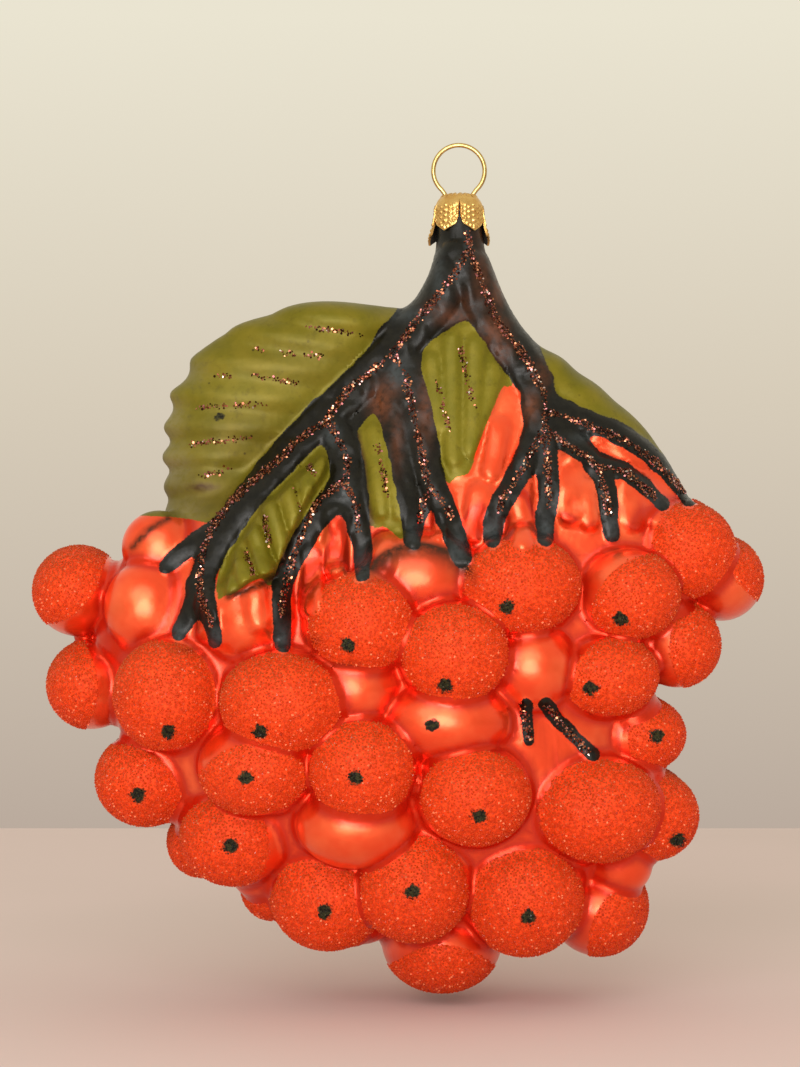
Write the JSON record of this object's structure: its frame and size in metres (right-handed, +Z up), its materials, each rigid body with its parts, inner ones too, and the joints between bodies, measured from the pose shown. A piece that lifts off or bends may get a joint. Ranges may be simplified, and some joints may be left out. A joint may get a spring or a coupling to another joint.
{
  "type": "glass christmas ornament in the shape of a rowan berry bunch",
  "caption": "Hollow blown-glass hanging ornament moulded as a bunch of red rowan berries with leaves and dark twigs, with a stamped gold crown cap and a sprung wire ring.",
  "frame": {"origin": "highest point inside the wire ring, on the ring's middle plane, where a hook or a thread bears", "axes": "+Z up along the line of hang, +X to the right of the front, -Y towards the front, so Y is the depth of the bunch and the XZ plane is the mould's parting plane"},
  "size_m": [0.1091, 0.0514, 0.1274],
  "materials": {
    "lacquered_glass": "silvered inside, orange-red pearly lacquer outside, with olive leaves, charcoal twigs and sugar-like grains on the berries",
    "gold_sheet": "bright gold-coloured, embossed",
    "gold_wire": "bright gold-coloured"
  },
  "bodies": {
    "root": {"glass_body": "lacquered_glass", "cap": "gold_sheet", "hanger": "gold_wire"}
  },
  "joints": []
}
